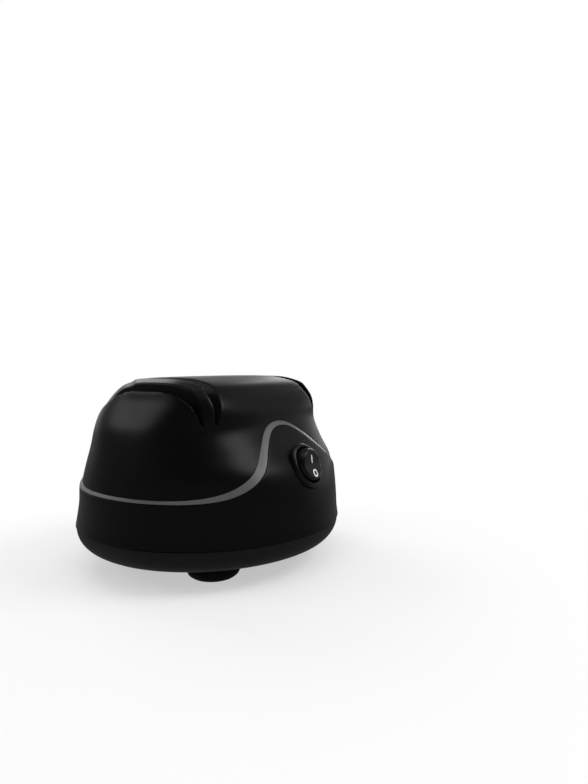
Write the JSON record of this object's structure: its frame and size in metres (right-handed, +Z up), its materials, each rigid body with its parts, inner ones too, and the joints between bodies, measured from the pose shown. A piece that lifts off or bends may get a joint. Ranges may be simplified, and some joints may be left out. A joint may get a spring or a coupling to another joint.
{
  "type": "electric knife sharpener",
  "caption": "Rounded black bench-top electric knife sharpener with leaning slots over a grinding stage at each end, a round rocker switch, a wave-shaped trim band and suction feet.",
  "frame": {"origin": "on the table plane under the middle of the case", "axes": "+X along the motor shaft towards the right-hand stage as seen from the switch, +Y from the switch side to the rear, +Z up"},
  "size_m": [0.15, 0.142, 0.0999],
  "materials": {
    "housing_black": "satin injection-moulded black plastic",
    "base_black": "finer matt black plastic",
    "band_grey": "satin grey painted plastic trim",
    "rubber_black": "soft black rubber",
    "switch_black": "semi-gloss black switch plastic",
    "zinc_steel": "zinc-plated steel",
    "bright_steel": "ground bright steel",
    "lamination_steel": "stacked silicon steel laminations",
    "bobbin_nylon": "natural nylon",
    "copper_wire": "enamelled copper wire",
    "bronze": "oil-filled sintered bronze",
    "fan_nylon": "dark moulded nylon",
    "coarse_abrasive": "coarse bonded abrasive",
    "fine_abrasive": "fine bonded abrasive"
  },
  "bodies": {
    "case": {"upper_housing": "housing_black", "accent_band": "band_grey", "lower_housing": "housing_black", "base_cover": "base_black", "cord_inlet_bushing": "rubber_black", "switch_body": "switch_black", "switch_terminal_lower": "bright_steel", "switch_terminal_upper": "bright_steel", "motor_stator": "lamination_steel", "coil_bobbin": "bobbin_nylon", "coil_winding": "copper_wire", "bracket_screw_front": "zinc_steel", "bracket_screw_rear": "zinc_steel", "foot_front_left": "rubber_black", "case_screw_front_left": "zinc_steel", "foot_front_right": "rubber_black", "case_screw_front_right": "zinc_steel", "foot_rear_left": "rubber_black", "case_screw_rear_left": "zinc_steel", "foot_rear_right": "rubber_black", "case_screw_rear_right": "zinc_steel", "bearing_bracket_left": "zinc_steel", "bearing_bush_left": "bronze", "bearing_bracket_right": "zinc_steel", "bearing_bush_right": "bronze"},
    "rotor": {"motor_shaft": "bright_steel", "rotor_core": "lamination_steel", "cooling_fan": "fan_nylon", "coarse_disc_inner": "coarse_abrasive", "coarse_disc_outer": "coarse_abrasive", "fine_disc_inner": "fine_abrasive", "fine_disc_outer": "fine_abrasive", "thrust_washer_left": "bright_steel", "thrust_washer_right": "bright_steel", "drive_hub_left": "zinc_steel", "drive_hub_right": "zinc_steel", "wave_spring_left": "bright_steel", "wave_spring_right": "bright_steel", "shaft_nut_left": "zinc_steel", "shaft_nut_right": "zinc_steel"},
    "rocker": {"switch_rocker": "switch_black"}
  },
  "joints": [
    {"name": "shaft_spin", "type": "hinge", "parent": "case", "child": "rotor", "pos_m": [0, 0, 0.062], "axis": [1, 0, 0], "continuous": true},
    {"name": "rocker_press", "type": "hinge", "parent": "case", "child": "rocker", "pos_m": [0, -0.06202, 0.0535], "axis": [-1, 0, 0], "range_deg": [0, 20]}
  ]
}
